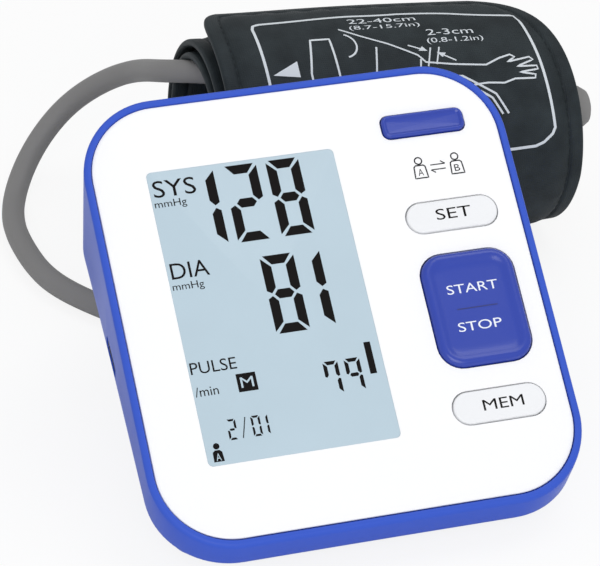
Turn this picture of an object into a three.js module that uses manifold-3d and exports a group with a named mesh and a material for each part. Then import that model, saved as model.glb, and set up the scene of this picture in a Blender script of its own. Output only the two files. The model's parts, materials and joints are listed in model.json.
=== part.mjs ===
// An upper-arm blood pressure set: a desk monitor, its rolled cuff and the air hose between them.
// Millimetres, +Z up. The set stands on z = 0 and the monitor's display faces -Y and up.
import * as THREE from 'three';
import { mergeVertices } from 'three/addons/utils/BufferGeometryUtils.js';
import Module from 'manifold-3d';

const wasm = await Module();
wasm.setup();

// ---- driving dimensions ------------------------------------------------------------------
const RAD = Math.PI / 180;
const GAP = 0.3;                 // play left between pieces that touch

// monitor: a wedge frame (deck) on a tapered base, with a sloping face
const MONITOR_X = -26.6;         // middle of the monitor's width
const MONITOR_Y = -102.4;        // front lower edge of its frame
const DECK_TILT = 22 * RAD;      // underside of the frame against the table
const FACE_TILT = 13.3 * RAD;    // face against the underside of the frame
const DECK_LIFT = 6;             // front lower edge of the frame above the table
const FRAME_WIDTH = 130;
const FACE_LENGTH = 140.8;       // frame's outer length, measured along the face
const FRAME_FRONT = 10.4;        // frame's height at its front edge
const FRAME_CORNER = 24;
const WALL = 2.2;
const DECK_LENGTH = FACE_LENGTH * Math.cos(FACE_TILT);
const POWER_Y = 73.5;            // power socket on the left wall, along the frame
const POWER_Z = 4.4;
const LEDGE = 3;                 // shelf inside the frame that carries the front cover
const COVER_THICKNESS = 2;

// display, centred on the left part of the face
const LCD_X = -18.1;
const LCD_Y = 0.6;
const LCD_WIDTH = 57.3;
const LCD_LENGTH = 92.5;

// keys: name, centre on the face, size, corner radius and how far they stand proud
const KEYS = [
  { name: 'user_switch', x: 39.7, y: 51.0, wide: 25.4, long: 7.2, corner: 2.2, proud: 1.1 },
  { name: 'set', x: 41.7, y: 20.6, wide: 28.0, long: 9.6, corner: 4.7, proud: 0.5 },
  { name: 'start_stop', x: 41.9, y: -9.7, wide: 28.5, long: 35.8, corner: 7.0, proud: 1.4 },
  { name: 'memory', x: 41.6, y: -40.2, wide: 28.0, long: 9.8, corner: 4.8, proud: 0.5 },
];
const KEY_FLANGE = 1.5;
const BOARD_TOP = -8.2;          // below the face
const BOARD_THICKNESS = 1.6;

// base under the frame: an upper ring in the deck and a smaller foot ring on the table
const FOOT_HEIGHT = 2.5;
const BASE_FRONT = 8;
const BASE_BACK = 90;
const BASE_NARROW = 0.22;        // how much narrower the foot ring gets from front to back
const BAY_FRONT = 34;            // battery bay, in Y from the frame's front edge
const BAY_BACK = 83;
const BAY_HALF = 23.5;
const BAY_TOP = 18;
const BATTERY_DIAMETER = 10.5;
const BATTERY_LENGTH = 44.5;

// air socket in the back wall of the base and the plug in it
const SOCKET_X = -38;
const SOCKET_Z = 8.5;
const SOCKET_BACK = 101.5;       // outer end of the socket
const PLUG_GRIP = 9.6;           // across the plug's grip
const PLUG_LENGTH = 12.7;

// cuff: a strip of cloth, 121 wide, rolled 2.2 turns into a slightly conical roll
const CUFF_X = -29.6;            // roll axis at its datum end, in plan
const CUFF_Y = 67.1;
const CUFF_TURN = 2 * RAD;       // roll axis against +X
const ROLL_RADIUS_LEFT = 43.75;  // outer radius at the datum end
const ROLL_RADIUS_RIGHT = 36.9;
const ROLL_RADIUS_MIDDLE = 39;
const ROLL_LENGTH = 126;         // between the first two radii
const CUFF_EDGE_LEFT = -8.4;     // edges of the strip along the roll axis
const CUFF_EDGE_RIGHT = 113;
const CUFF_TURNS = 2.2;
const FLAP_END = -22;            // degrees from the top, positive towards the front
const DROP_START = 205;          // degrees of winding that stay at the full radius
const FLAP_DROP = 8;             // how far the rest of the first turn winds inwards
const TURN_PITCH = 4.2;          // how far each later turn does
const TAPER_LEFT = 0.8;          // how far the strip's edges step out on the left
const TAPER_RIGHT = 5;           // and in on the right, in each turn
const STRIP_THICKNESS = 3.8;
const ROLL_STEP = 10;            // degrees

// air hose, from the port at the cuff's right end through the roll and round to the socket
const HOSE_DIAMETER = 7.6;
const HOSE_ROUTE = [
  [77.9, 55.1, 46.4], [58.5, 54.9, 48.2], [39.6, 56.3, 52.5], [20.5, 59.1, 57.3],
  [2.7, 62.9, 61.8], [-16.7, 67.5, 65.2], [-34.7, 77, 64.6], [-43.7, 90.6, 58.9],
  [-46.2, 103.9, 52.3], [-53.2, 123, 40.7], [-68.5, 131.9, 26.5], [-82.6, 126, 13.6],
  [-91.4, 112.4, 5.8], [-94.9, 96.4, 4.1], [-94.3, 79.6, 4], [-90.2, 61, 4], [-80.6, 44.7, 4.1],
  [-68.7, 28.6, 5.7], [-65.3, 19.6, 8.2], [-64.6, 12.7, 8.5],
];

// ---- materials ----------------------------------------------------------------------------
const finish = (color, roughness, metalness = 0) => () =>
  new THREE.MeshStandardMaterial({ color, roughness, metalness });
const whitePlastic = finish('#fafafa', 0.35);
const bluePlastic = finish('#3c50b8', 0.4);
const blueKey = finish('#3a49b4', 0.35);
const paleKey = finish('#f4f4f4', 0.4);
const clearWindow = finish('#dfe8ee', 0.08);
const displayGlass = finish('#c1d6e2', 0.25);
const boardGreen = finish('#1f5b3a', 0.5);
const blackPlastic = finish('#1c1c1e', 0.5);
const steel = finish('#b9bcc0', 0.3, 1);
const brass = finish('#c9a653', 0.35, 1);
const whiteRubber = finish('#d9d9d6', 0.7);
const darkRubber = finish('#2b2b2c', 0.8);
const greyRubber = finish('#807e7d', 0.55);
const batteryWrap = finish('#3d4a52', 0.35, 0.4);
const blackCloth = finish('#2d3234', 0.9);
const liningCloth = finish('#3a4043', 0.9);
const bladderFilm = finish('#8d8f90', 0.6);
const hookCloth = finish('#232628', 0.95);

// ---- helpers ------------------------------------------------------------------------------
function toSolid(geometry) {
  const bare = geometry.clone();
  bare.deleteAttribute('normal');
  bare.deleteAttribute('uv');
  const merged = mergeVertices(bare, 1e-4);
  return new wasm.Manifold(new wasm.Mesh({
    numProp: 3,
    vertProperties: new Float32Array(merged.attributes.position.array),
    triVerts: new Uint32Array(merged.index.array),
  }));
}

function toGeometry(solid) {
  const mesh = solid.getMesh();
  const geometry = new THREE.BufferGeometry();
  geometry.setAttribute('position', new THREE.BufferAttribute(new Float32Array(mesh.vertProperties), 3));
  geometry.setIndex(new THREE.BufferAttribute(new Uint32Array(mesh.triVerts), 1));
  geometry.computeVertexNormals();
  return geometry;
}

function join(first, ...rest) {
  return toGeometry(rest.reduce((sum, piece) => sum.add(toSolid(piece)), toSolid(first)));
}

function cut(first, ...rest) {
  return toGeometry(rest.reduce((left, piece) => left.subtract(toSolid(piece)), toSolid(first)));
}

function common(first, ...rest) {
  return toGeometry(rest.reduce((left, piece) => left.intersect(toSolid(piece)), toSolid(first)));
}

function addPiece(group, name, geometry, material) {
  const mesh = new THREE.Mesh(geometry, material());
  mesh.name = name;
  group.add(mesh);
  return mesh;
}

function roundedRectangle(wide, long, corner, x = 0, y = 0) {
  const shape = new THREE.Shape();
  const [left, right, low, high] = [x - wide / 2, x + wide / 2, y - long / 2, y + long / 2];
  shape.moveTo(left + corner, low);
  shape.lineTo(right - corner, low);
  shape.absarc(right - corner, low + corner, corner, -Math.PI / 2, 0);
  shape.lineTo(right, high - corner);
  shape.absarc(right - corner, high - corner, corner, 0, Math.PI / 2);
  shape.lineTo(left + corner, high);
  shape.absarc(left + corner, high - corner, corner, Math.PI / 2, Math.PI);
  shape.lineTo(left, low + corner);
  shape.absarc(left + corner, low + corner, corner, Math.PI, Math.PI * 1.5);
  return shape;
}

function prism(shape, low, high, curveSegments = 8) {
  const depth = high - low;
  const geometry = new THREE.ExtrudeGeometry(shape, { depth, bevelEnabled: false, curveSegments });
  return geometry.translate(0, 0, low);
}

function block(x, y, z, wide, long, high) {
  return new THREE.BoxGeometry(wide, long, high).translate(x, y, z);
}

function rod(diameter, low, high, x = 0, y = 0, sides = 20) {
  const geometry = new THREE.CylinderGeometry(diameter / 2, diameter / 2, high - low, sides);
  return geometry.rotateX(Math.PI / 2).translate(x, y, (low + high) / 2);
}

function turned(profile, sides = 20) {
  const points = profile.map(([radius, height]) => new THREE.Vector2(radius, height));
  return new THREE.LatheGeometry(points, sides).rotateX(Math.PI / 2);
}

function tube(points, diameter, sides, steps) {
  const places = points.map((p) => new THREE.Vector3(...p));
  const curve = new THREE.CatmullRomCurve3(places, false, 'centripetal');
  const ring = new THREE.Shape();
  for (let side = 0; side < sides; side += 1) {
    const angle = (side + 0.5) / sides * 2 * Math.PI;
    const [x, y] = [diameter / 2 * Math.cos(angle), diameter / 2 * Math.sin(angle)];
    if (side === 0) ring.moveTo(x, y);
    else ring.lineTo(x, y);
  }
  return new THREE.ExtrudeGeometry(ring, { steps, bevelEnabled: false, extrudePath: curve });
}

// ---- the set, the monitor and its two tilted parts ----------------------------------------
const product = new THREE.Group();
const monitor = new THREE.Group();
monitor.position.set(MONITOR_X, MONITOR_Y, 0);
product.add(monitor);

const deck = new THREE.Group();
deck.position.set(0, 0, DECK_LIFT);
deck.rotation.x = DECK_TILT;
monitor.add(deck);

const face = new THREE.Group();
const HALF_FACE = FACE_LENGTH / 2;
face.position.set(0, HALF_FACE * Math.cos(FACE_TILT), FRAME_FRONT + HALF_FACE * Math.sin(FACE_TILT));
face.rotation.x = FACE_TILT;
deck.add(face);
product.updateMatrixWorld(true);

// a shape given in the face's frame, moved into the deck's frame
function faceToDeck(geometry) {
  face.updateMatrix();
  return geometry.clone().applyMatrix4(face.matrix);
}

function deckOutline(inset) {
  const [wide, long] = [FRAME_WIDTH - 2 * inset, DECK_LENGTH - 2 * inset];
  return roundedRectangle(wide, long, FRAME_CORNER - inset, 0, DECK_LENGTH / 2);
}

// ---- side frame: the wedge-shaped blue wall with a thin lip round the face ----------------
function makeSideFrame() {
  const tall = 60;
  const big = 400;
  const wholeWall = prism(deckOutline(0), 0, tall);
  const underFace = faceToDeck(block(0, 0, -big / 2, big, big, big));
  const coverSeat = common(
    prism(deckOutline(WALL), -1, tall),
    faceToDeck(block(0, 0, big / 2 - COVER_THICKNESS - GAP, big, big, big)));
  const opening = prism(deckOutline(WALL + LEDGE), -1, tall);
  const lowerRoom = common(
    prism(deckOutline(WALL), -1, tall),
    faceToDeck(block(0, 0, -big / 2 - COVER_THICKNESS - 1.8, big, big, big)));
  const powerHole = block(-FRAME_WIDTH / 2, POWER_Y, POWER_Z, 12, 13, 5.4);
  return cut(common(wholeWall, underFace), coverSeat, opening, lowerRoom, powerHole);
}
addPiece(deck, 'side_frame', makeSideFrame(), bluePlastic);

// ---- front cover: the white plate with its window, key holes and board posts --------------
const COVER_WIDTH = FRAME_WIDTH - 2 * WALL - 2 * GAP;
// the frame's walls lean against the face, so the cover is a little shorter than its seat
const COVER_LEAN = WALL / Math.cos(FACE_TILT) + COVER_THICKNESS * Math.tan(FACE_TILT);
const COVER_LENGTH = FACE_LENGTH - 2 * COVER_LEAN - 2 * GAP;
const POSTS = [[-46, 54], [20, 56], [-46, -55], [46, -55]];

function makeFrontCover() {
  const outline = roundedRectangle(COVER_WIDTH, COVER_LENGTH, FRAME_CORNER - WALL - GAP);
  outline.holes.push(roundedRectangle(LCD_WIDTH, LCD_LENGTH, 1.6, LCD_X, LCD_Y));
  for (const key of KEYS) {
    outline.holes.push(roundedRectangle(
      key.wide + 2 * GAP, key.long + 2 * GAP, key.corner + GAP / 2, key.x, key.y));
  }
  const posts = POSTS.map(([x, y]) => rod(5, BOARD_TOP + GAP, -1, x, y, 12));
  return join(prism(outline, -COVER_THICKNESS, 0, 6), ...posts);
}
addPiece(face, 'front_cover', makeFrontCover(), whitePlastic);

// ---- display: window, liquid crystal panel and backlight ----------------------------------
addPiece(face, 'display_window',
  prism(roundedRectangle(LCD_WIDTH - 2 * GAP, LCD_LENGTH - 2 * GAP, 1.4, LCD_X, LCD_Y), -1.5, -0.1, 4),
  clearWindow);
addPiece(face, 'lcd_panel', block(LCD_X, LCD_Y, -3.4, LCD_WIDTH + 3, LCD_LENGTH + 3, 2.2), displayGlass);
addPiece(face, 'lcd_backlight', block(LCD_X, LCD_Y, -5.7, LCD_WIDTH + 1, LCD_LENGTH + 1, 1.6), whiteRubber);

// ---- circuit board and what is soldered to it ----------------------------------------------
const BOARD_LOW = BOARD_TOP - BOARD_THICKNESS;
addPiece(face, 'circuit_board',
  prism(roundedRectangle(110, 118, 6, 1, 0), BOARD_LOW, BOARD_TOP, 3), boardGreen);
addPiece(face, 'main_chip', block(-18, 10, BOARD_LOW - GAP - 0.8, 14, 14, 1.6), blackPlastic);
addPiece(face, 'pressure_sensor', join(
  block(34, 26, BOARD_LOW - GAP - 2.5, 12, 12, 5),
  rod(3.6, BOARD_LOW - 12, BOARD_LOW - 5, 34, 26, 12)), blackPlastic);
addPiece(face, 'buzzer', rod(12, BOARD_LOW - GAP - 4.5, BOARD_LOW - GAP, 38, -8, 20), blackPlastic);

// ---- keys and the switches under them -------------------------------------------------------
const SWITCH_TOP = -5.2;

function makeKey(key) {
  const cap = new THREE.ExtrudeGeometry(
    roundedRectangle(key.wide - 0.8, key.long - 0.8, key.corner - 0.4, key.x, key.y),
    { depth: key.proud + 2.1, bevelEnabled: true, bevelSize: 0.4, bevelThickness: 0.4, bevelSegments: 2,
      curveSegments: 5 });
  cap.translate(0, 0, -2.5);
  const flange = prism(roundedRectangle(
    key.wide + 2 * KEY_FLANGE, key.long + 2 * KEY_FLANGE, key.corner + 1, key.x, key.y), -3.2, -2.3, 4);
  const stem = rod(4, -4.1, -3, key.x, key.y, 12);
  return join(cap, flange, stem);
}
for (const key of KEYS) {
  addPiece(face, `${key.name}_button`, makeKey(key), key.proud > 1 ? blueKey : paleKey);
  addPiece(face, `${key.name}_switch`, join(
    block(key.x, key.y, (BOARD_TOP + GAP + SWITCH_TOP - 0.8) / 2, 6, 6, SWITCH_TOP - 0.8 - BOARD_TOP - GAP),
    rod(3.2, SWITCH_TOP - 1, SWITCH_TOP, key.x, key.y, 12)), blackPlastic);
}

// ---- back cover: the tapered base with the battery bay --------------------------------------
// A ring of the base at a height between the table (level 0) and the deck (level 1).
function baseRing(inset, level) {
  const outline = deckOutline(WALL + 0.4 + inset).getPoints(6);
  const points = outline.slice(0, -1).map((p) => {
    const along = p.y / DECK_LENGTH;
    const top = new THREE.Vector3(
      p.x,
      p.y * Math.cos(DECK_TILT) - 1.5 * Math.sin(DECK_TILT),
      DECK_LIFT + p.y * Math.sin(DECK_TILT) + 1.5 * Math.cos(DECK_TILT));
    const start = WALL + 0.4 + inset;
    const share = (p.y - start) / (DECK_LENGTH - 2 * start);
    const low = new THREE.Vector3(
      p.x * (0.95 - BASE_NARROW * along),
      BASE_FRONT + inset + share * (BASE_BACK - BASE_FRONT - 2 * inset),
      FOOT_HEIGHT);
    return low.lerp(top, level);
  });
  return points;
}

function loft(lowRing, highRing) {
  const count = lowRing.length;
  const positions = [...lowRing, ...highRing].flatMap((p) => [p.x, p.y, p.z]);
  const indices = [];
  for (let i = 0; i < count; i += 1) {
    const next = (i + 1) % count;
    indices.push(i, next, count + next, i, count + next, count + i);
  }
  const inPlan = (ring) => ring.map((p) => new THREE.Vector2(p.x, p.y));
  const triangles = (ring) => THREE.ShapeUtils.triangulateShape(inPlan(ring), []);
  for (const [a, b, c] of triangles(lowRing)) indices.push(a, c, b);
  for (const [a, b, c] of triangles(highRing)) indices.push(count + a, count + b, count + c);
  const geometry = new THREE.BufferGeometry();
  geometry.setAttribute('position', new THREE.Float32BufferAttribute(positions, 3));
  geometry.setIndex(indices);
  return geometry;
}

const SCREWS = [[-36, 22], [36, 22], [-30, 58], [30, 58]];
const FEET = [[-47, 18], [47, 18], [-34, 76], [34, 76]];

function makeBackCover() {
  const outside = loft(baseRing(0, 0), baseRing(0, 1));
  const floorRing = baseRing(WALL, 0).map((p) => p.clone().setZ(FOOT_HEIGHT + WALL));
  const roofRing = baseRing(WALL, 1.06);
  const inside = loft(floorRing, roofRing);
  const bayBox = block(0, (BAY_FRONT + BAY_BACK) / 2, (FOOT_HEIGHT + BAY_TOP) / 2,
    2 * BAY_HALF + 3, BAY_BACK - BAY_FRONT + 3, BAY_TOP - FOOT_HEIGHT);
  const bayRoom = block(0, (BAY_FRONT + BAY_BACK) / 2, (BAY_TOP - 1.5) / 2,
    2 * BAY_HALF, BAY_BACK - BAY_FRONT, BAY_TOP - 1.5);
  const doorSlot = block(0, (BAY_FRONT - 2 + 130) / 2, 2.5, 2 * BAY_HALF + 2, 130 - BAY_FRONT + 2, 5.2);
  const bosses = SCREWS.map(([x, y]) => rod(7, FOOT_HEIGHT + 1, 11, x, y, 14));
  const holes = SCREWS.flatMap(([x, y]) => [rod(3.6, 0, 30, x, y, 14), rod(6.4, 0, 4.6, x, y, 14)]);
  const socketHole = new THREE.CylinderGeometry(5.6, 5.6, 40, 20).translate(SOCKET_X, 105, SOCKET_Z);
  const shell = cut(outside, inside);
  return cut(join(shell, bayBox, ...bosses), bayRoom, doorSlot, ...holes, socketHole);
}
addPiece(monitor, 'back_cover', makeBackCover(), bluePlastic);

const DOOR_HALF = BAY_HALF + 1 - GAP;
addPiece(monitor, 'battery_door', join(
  block(0, (BAY_FRONT - 2 + GAP + BASE_BACK) / 2, FOOT_HEIGHT + 1.1,
    2 * DOOR_HALF, BASE_BACK - BAY_FRONT + 2 - GAP, 2),
  block(0, BASE_BACK - 6, FOOT_HEIGHT + 0.4, 16, 1.4, 1.2)), bluePlastic);
for (const [i, [x, y]] of FEET.entries()) {
  addPiece(monitor, `foot_${i + 1}`, rod(10, 0, FOOT_HEIGHT - GAP, x, y, 18), darkRubber);
}
for (const [i, [x, y]] of SCREWS.entries()) {
  const screw = turned([[0, 2.8], [2.6, 2.8], [2.6, 4.3], [1.5, 4.3], [1.5, 10.4], [0, 10.6]], 14);
  addPiece(monitor, `case_screw_${i + 1}`, screw.translate(x, y, 0), steel);
}

// ---- batteries and their contacts ------------------------------------------------------------
const BATTERY_PITCH = 11.3;
for (let i = 0; i < 4; i += 1) {
  const end = i % 2 === 0 ? 1 : -1;
  const half = BATTERY_LENGTH / 2;
  const radius = BATTERY_DIAMETER / 2;
  const shoulder = half - 1.2;
  const cell = turned(
    [[0, -half], [radius, -half], [radius, shoulder], [2, shoulder], [2, half], [0, half]], 18);
  cell.rotateX(-Math.PI / 2 * end);
  cell.translate((i - 1.5) * BATTERY_PITCH, (BAY_FRONT + BAY_BACK) / 2, 10.6);
  addPiece(monitor, `battery_${i + 1}`, cell, batteryWrap);
}
for (const [name, y] of [['front', BAY_FRONT + 0.7], ['back', BAY_BACK - 0.7]]) {
  addPiece(monitor, `battery_contacts_${name}`, block(0, y, 10.6, 4 * BATTERY_PITCH, 0.6, 9), steel);
}

// ---- pump, valve and air lines -----------------------------------------------------------------
const PUMP_Y = 88;
const PUMP_Z = 36;
function alongX(geometry, x, y, z) {
  return geometry.rotateY(Math.PI / 2).translate(x, y, z);
}
addPiece(monitor, 'pump_motor', alongX(
  turned([[0, -15], [10, -15], [10.6, -14], [10.6, 14], [10, 15], [1.2, 15], [1.2, 17.5], [0, 17.5]], 24),
  -12, PUMP_Y, PUMP_Z), steel);
addPiece(monitor, 'pump_eccentric', alongX(
  turned([[1.5, -2], [7.5, -2], [7.5, 2], [1.5, 2], [1.5, -2]], 20), 6, PUMP_Y, PUMP_Z), whiteRubber);
function makePumpHead() {
  const body = block(16.3, PUMP_Y, PUMP_Z, 26, 24, 22);
  const room = block(10.2, PUMP_Y, PUMP_Z, 16, 18, 17.4);
  const outlet = rod(4, PUMP_Z + 10, PUMP_Z + 17, 22, PUMP_Y, 12);
  return join(cut(body, room), outlet);
}
addPiece(monitor, 'pump_head', makePumpHead(), blackPlastic);

function makeValve() {
  const body = block(-20, 54, 27, 20, 14, 13);
  const bore = alongX(rod(7, -20, 7, 0, 0, 16), -20, 54, 27);
  const inlet = rod(4, 33, 38, -20, 54, 12);
  return join(cut(body, bore), inlet);
}
addPiece(monitor, 'exhaust_valve', makeValve(), steel);
addPiece(monitor, 'valve_plunger', alongX(rod(6, -9, 4, 0, 0, 16), -22, 54, 27), brass);

const MANIFOLD = [2, 66, 40];
addPiece(monitor, 'air_manifold', join(
  block(...MANIFOLD, 34, 7, 7),
  rod(4, MANIFOLD[2] - 9, MANIFOLD[2], MANIFOLD[0] - 12, MANIFOLD[1], 12),
  rod(4, MANIFOLD[2] - 9, MANIFOLD[2], MANIFOLD[0] + 12, MANIFOLD[1], 12)), whiteRubber);
addPiece(monitor, 'pump_air_line', tube(
  [[22, PUMP_Y, 53.4], [22, PUMP_Y - 0.3, 55], [20.8, 83, 57.5], [17, 74, 54],
    [14.3, 67.5, 49], [14, 66.1, 45.4], [14, 66, 43.8]], 4, 8, 14), greyRubber);
addPiece(monitor, 'socket_air_line', tube(
  [[SOCKET_X, 85.1, SOCKET_Z], [SOCKET_X, 79, SOCKET_Z + 2], [-37, 72, 19], [-34, 67, 30], [-26, 66, 38],
    [-15.4, 66, 40]], 4, 8, 16), greyRubber);

// ---- sockets -------------------------------------------------------------------------------------
function alongY(geometry, x, y, z) {
  return geometry.rotateX(-Math.PI / 2).translate(x, y, z);
}
function makeAirSocket() {
  const outside = turned([
    [3.1, -16], [5.3, -16], [5.3, -2.5], [7, -2.5], [7, 0], [3.1, 0], [3.1, -16]], 20);
  return alongY(outside, SOCKET_X, SOCKET_BACK, SOCKET_Z);
}
addPiece(monitor, 'air_socket', makeAirSocket(), whiteRubber);
function makePowerSocket() {
  const body = block(-FRAME_WIDTH / 2 + 5.2, POWER_Y, POWER_Z, 7, 12.4, 4.8);
  const mouth = block(-FRAME_WIDTH / 2 + 3.4, POWER_Y, POWER_Z, 6, 9, 2.6);
  return cut(body, mouth);
}
addPiece(deck, 'power_socket', makePowerSocket(), blackPlastic);

// ---- cuff: the roll ---------------------------------------------------------------------------------
const CONE = Math.asin((ROLL_RADIUS_LEFT - ROLL_RADIUS_RIGHT) / ROLL_LENGTH);
const rollAxis = new THREE.Vector3(
  Math.cos(CUFF_TURN) * Math.cos(CONE), Math.sin(CUFF_TURN) * Math.cos(CONE), -Math.sin(CONE));
const rollBack = new THREE.Vector3(-Math.sin(CUFF_TURN), Math.cos(CUFF_TURN), 0);
const rollUp = new THREE.Vector3().crossVectors(rollAxis, rollBack);
const rollStart = new THREE.Vector3(CUFF_X, CUFF_Y, ROLL_RADIUS_LEFT / Math.cos(CONE));

// a point of the roll: distance along its axis, angle from the top towards the front, radius
function rollPoint(along, degrees, radius) {
  return rollStart.clone()
    .addScaledVector(rollAxis, along)
    .addScaledVector(rollUp, radius * Math.cos(degrees * RAD))
    .addScaledVector(rollBack, -radius * Math.sin(degrees * RAD));
}

function coneRadius(along) {
  return ROLL_RADIUS_LEFT - (ROLL_RADIUS_LEFT - ROLL_RADIUS_RIGHT) * along / ROLL_LENGTH;
}

// how far the strip's outer face has wound inwards, in degrees of winding from the flap's end
function windingDrop(wound) {
  if (wound > 360) return FLAP_DROP + TURN_PITCH * (wound - 360) / 360;
  const share = Math.max(0, (wound - DROP_START) / (360 - DROP_START));
  return FLAP_DROP * share * share * (3 - 2 * share);
}

// left and right edges of the strip, with the flap's rounded corners
function stripEdges(wound) {
  const turns = wound / 360;
  const run = wound * RAD * ROLL_RADIUS_MIDDLE;
  const leftCorner = 8 * Math.exp(-run / 5);
  const rightCorner = 24 * Math.exp(-run / 14) + 4 * Math.max(0, 1 - run / 82);
  return [
    CUFF_EDGE_LEFT + leftCorner - TAPER_LEFT * turns,
    CUFF_EDGE_RIGHT - rightCorner - TAPER_RIGHT * turns,
  ];
}

// a layer of the strip between two depths below its outer face and two amounts of winding
function stripLayer(from, to, depthOut, depthIn, inset) {
  const positions = [];
  const count = Math.round((to - from) / ROLL_STEP);
  for (let i = 0; i <= count; i += 1) {
    const wound = from + (to - from) * i / count;
    const [left, right] = stripEdges(wound);
    const drop = windingDrop(wound);
    for (const [along, depth] of [[left + inset, depthOut], [right - inset, depthOut],
      [right - inset, depthIn], [left + inset, depthIn]]) {
      const p = rollPoint(along, FLAP_END + wound, coneRadius(along) - drop - depth);
      positions.push(p.x, p.y, p.z);
    }
  }
  const indices = [];
  for (let i = 0; i < count; i += 1) {
    for (let side = 0; side < 4; side += 1) {
      const [a, b] = [4 * i + side, 4 * i + (side + 1) % 4];
      indices.push(a, a + 4, b + 4, a, b + 4, b);
    }
  }
  const last = 4 * count;
  indices.push(0, 1, 2, 0, 2, 3, last, last + 2, last + 1, last, last + 3, last + 2);
  const geometry = new THREE.BufferGeometry();
  geometry.setAttribute('position', new THREE.Float32BufferAttribute(positions, 3));
  geometry.setIndex(indices);
  return geometry;
}

const WOUND = CUFF_TURNS * 360;
addPiece(product, 'cuff_outer_cloth', stripLayer(0, WOUND, 0, 1, 0), blackCloth);
addPiece(product, 'cuff_lining',
  stripLayer(0, WOUND, STRIP_THICKNESS - 0.8, STRIP_THICKNESS, 0), liningCloth);
addPiece(product, 'air_bladder', stripLayer(430, 760, 1.3, STRIP_THICKNESS - 1.1, 9), bladderFilm);
addPiece(product, 'hook_pad',
  stripLayer(10, 70, STRIP_THICKNESS + GAP, STRIP_THICKNESS + 1.5, 26), hookCloth);
addPiece(product, 'loop_pad', stripLayer(370, 430, -1.3, -GAP, 16), hookCloth);

// ---- cuff port: a moulded air fitting at the right end of the roll, on the strip's inner edge --
const PORT_ANGLE = 62;
const PORT_RADIUS = 17.8;
const PORT_START = 107;
const PORT_LENGTH = 13.5;
function makeCuffPort() {
  return turned([
    [0, 0], [5.4, 0], [7.2, 2.2], [7.6, 6], [7.2, 9.5], [5.6, 12], [3, 13.1], [0, PORT_LENGTH]], 20);
}
const portSeat = rollPoint(PORT_START, PORT_ANGLE, PORT_RADIUS);
const portPlace = new THREE.Matrix4().makeBasis(rollBack, rollUp, rollAxis).setPosition(portSeat);
addPiece(product, 'cuff_port', makeCuffPort().applyMatrix4(portPlace), greyRubber);

// ---- air hose and its plug -----------------------------------------------------------------------
addPiece(product, 'air_hose', tube(HOSE_ROUTE, HOSE_DIAMETER, 10, 48), greyRubber);

const NOSE = 13;
function makePlug() {
  const grip = PLUG_GRIP / 2;
  return turned([
    [0, -NOSE], [2.2, -NOSE], [2.6, -NOSE + 0.8], [2.6, -7.4], [2, -7.4], [2, -6.2], [2.6, -6.2],
    [2.6, 0.1],
    [grip - 0.6, 0.1], [grip, 0.7], [grip, 4], [grip - 0.7, 5], [grip - 0.7, 9], [grip, 10], [grip, 12],
    [grip - 0.6, PLUG_LENGTH], [0, PLUG_LENGTH]], 20);
}
const plug = new THREE.Group();
plug.position.set(MONITOR_X + SOCKET_X, MONITOR_Y + SOCKET_BACK + GAP, SOCKET_Z);
plug.rotation.x = -Math.PI / 2;
product.add(plug);
addPiece(plug, 'air_plug', makePlug(), greyRubber);
addPiece(plug, 'plug_o_ring', turned(
  [[2.1, -7.2], [2.95, -7.2], [2.95, -6.4], [2.1, -6.4], [2.1, -7.2]], 20), darkRubber);

export default product;
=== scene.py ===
import json
import math
import bpy
import numpy as np
from mathutils import Matrix, Vector


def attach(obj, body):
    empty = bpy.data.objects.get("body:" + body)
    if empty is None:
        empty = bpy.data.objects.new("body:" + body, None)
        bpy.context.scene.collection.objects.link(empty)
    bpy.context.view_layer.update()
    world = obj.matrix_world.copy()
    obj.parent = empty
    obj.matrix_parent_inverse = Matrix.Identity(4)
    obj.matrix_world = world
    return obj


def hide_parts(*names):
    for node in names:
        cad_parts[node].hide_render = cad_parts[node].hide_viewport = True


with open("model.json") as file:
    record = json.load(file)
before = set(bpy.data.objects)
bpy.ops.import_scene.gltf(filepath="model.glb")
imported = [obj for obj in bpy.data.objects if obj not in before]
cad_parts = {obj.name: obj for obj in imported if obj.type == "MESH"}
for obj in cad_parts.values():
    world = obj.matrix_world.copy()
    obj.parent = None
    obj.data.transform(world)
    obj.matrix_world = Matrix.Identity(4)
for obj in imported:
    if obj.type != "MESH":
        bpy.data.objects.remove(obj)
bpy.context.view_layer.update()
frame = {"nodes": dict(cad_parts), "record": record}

# ---- Camera ------------------------------------------------------------------------------
# A long lens a metre away, above and a little to the left of the set.
camera = bpy.data.objects.new("camera", bpy.data.cameras.new("camera"))
bpy.context.scene.collection.objects.link(camera)
bpy.context.scene.camera = camera
camera.data.sensor_width = 36
camera.data.lens = 185.08
camera.data.clip_end = 20
CAMERA_RIGHT = Vector((0.96365, -0.26701, 0.00898))
CAMERA_UP = Vector((0.13871, 0.52877, 0.83735))
CAMERA_FORWARD = Vector((0.22833, 0.80567, -0.54659))
turn = Matrix((CAMERA_RIGHT, CAMERA_UP, -CAMERA_FORWARD)).transposed()
camera.matrix_world = Matrix.Translation((-0.24132, -0.77160, 0.55320)) @ turn.to_4x4()

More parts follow.
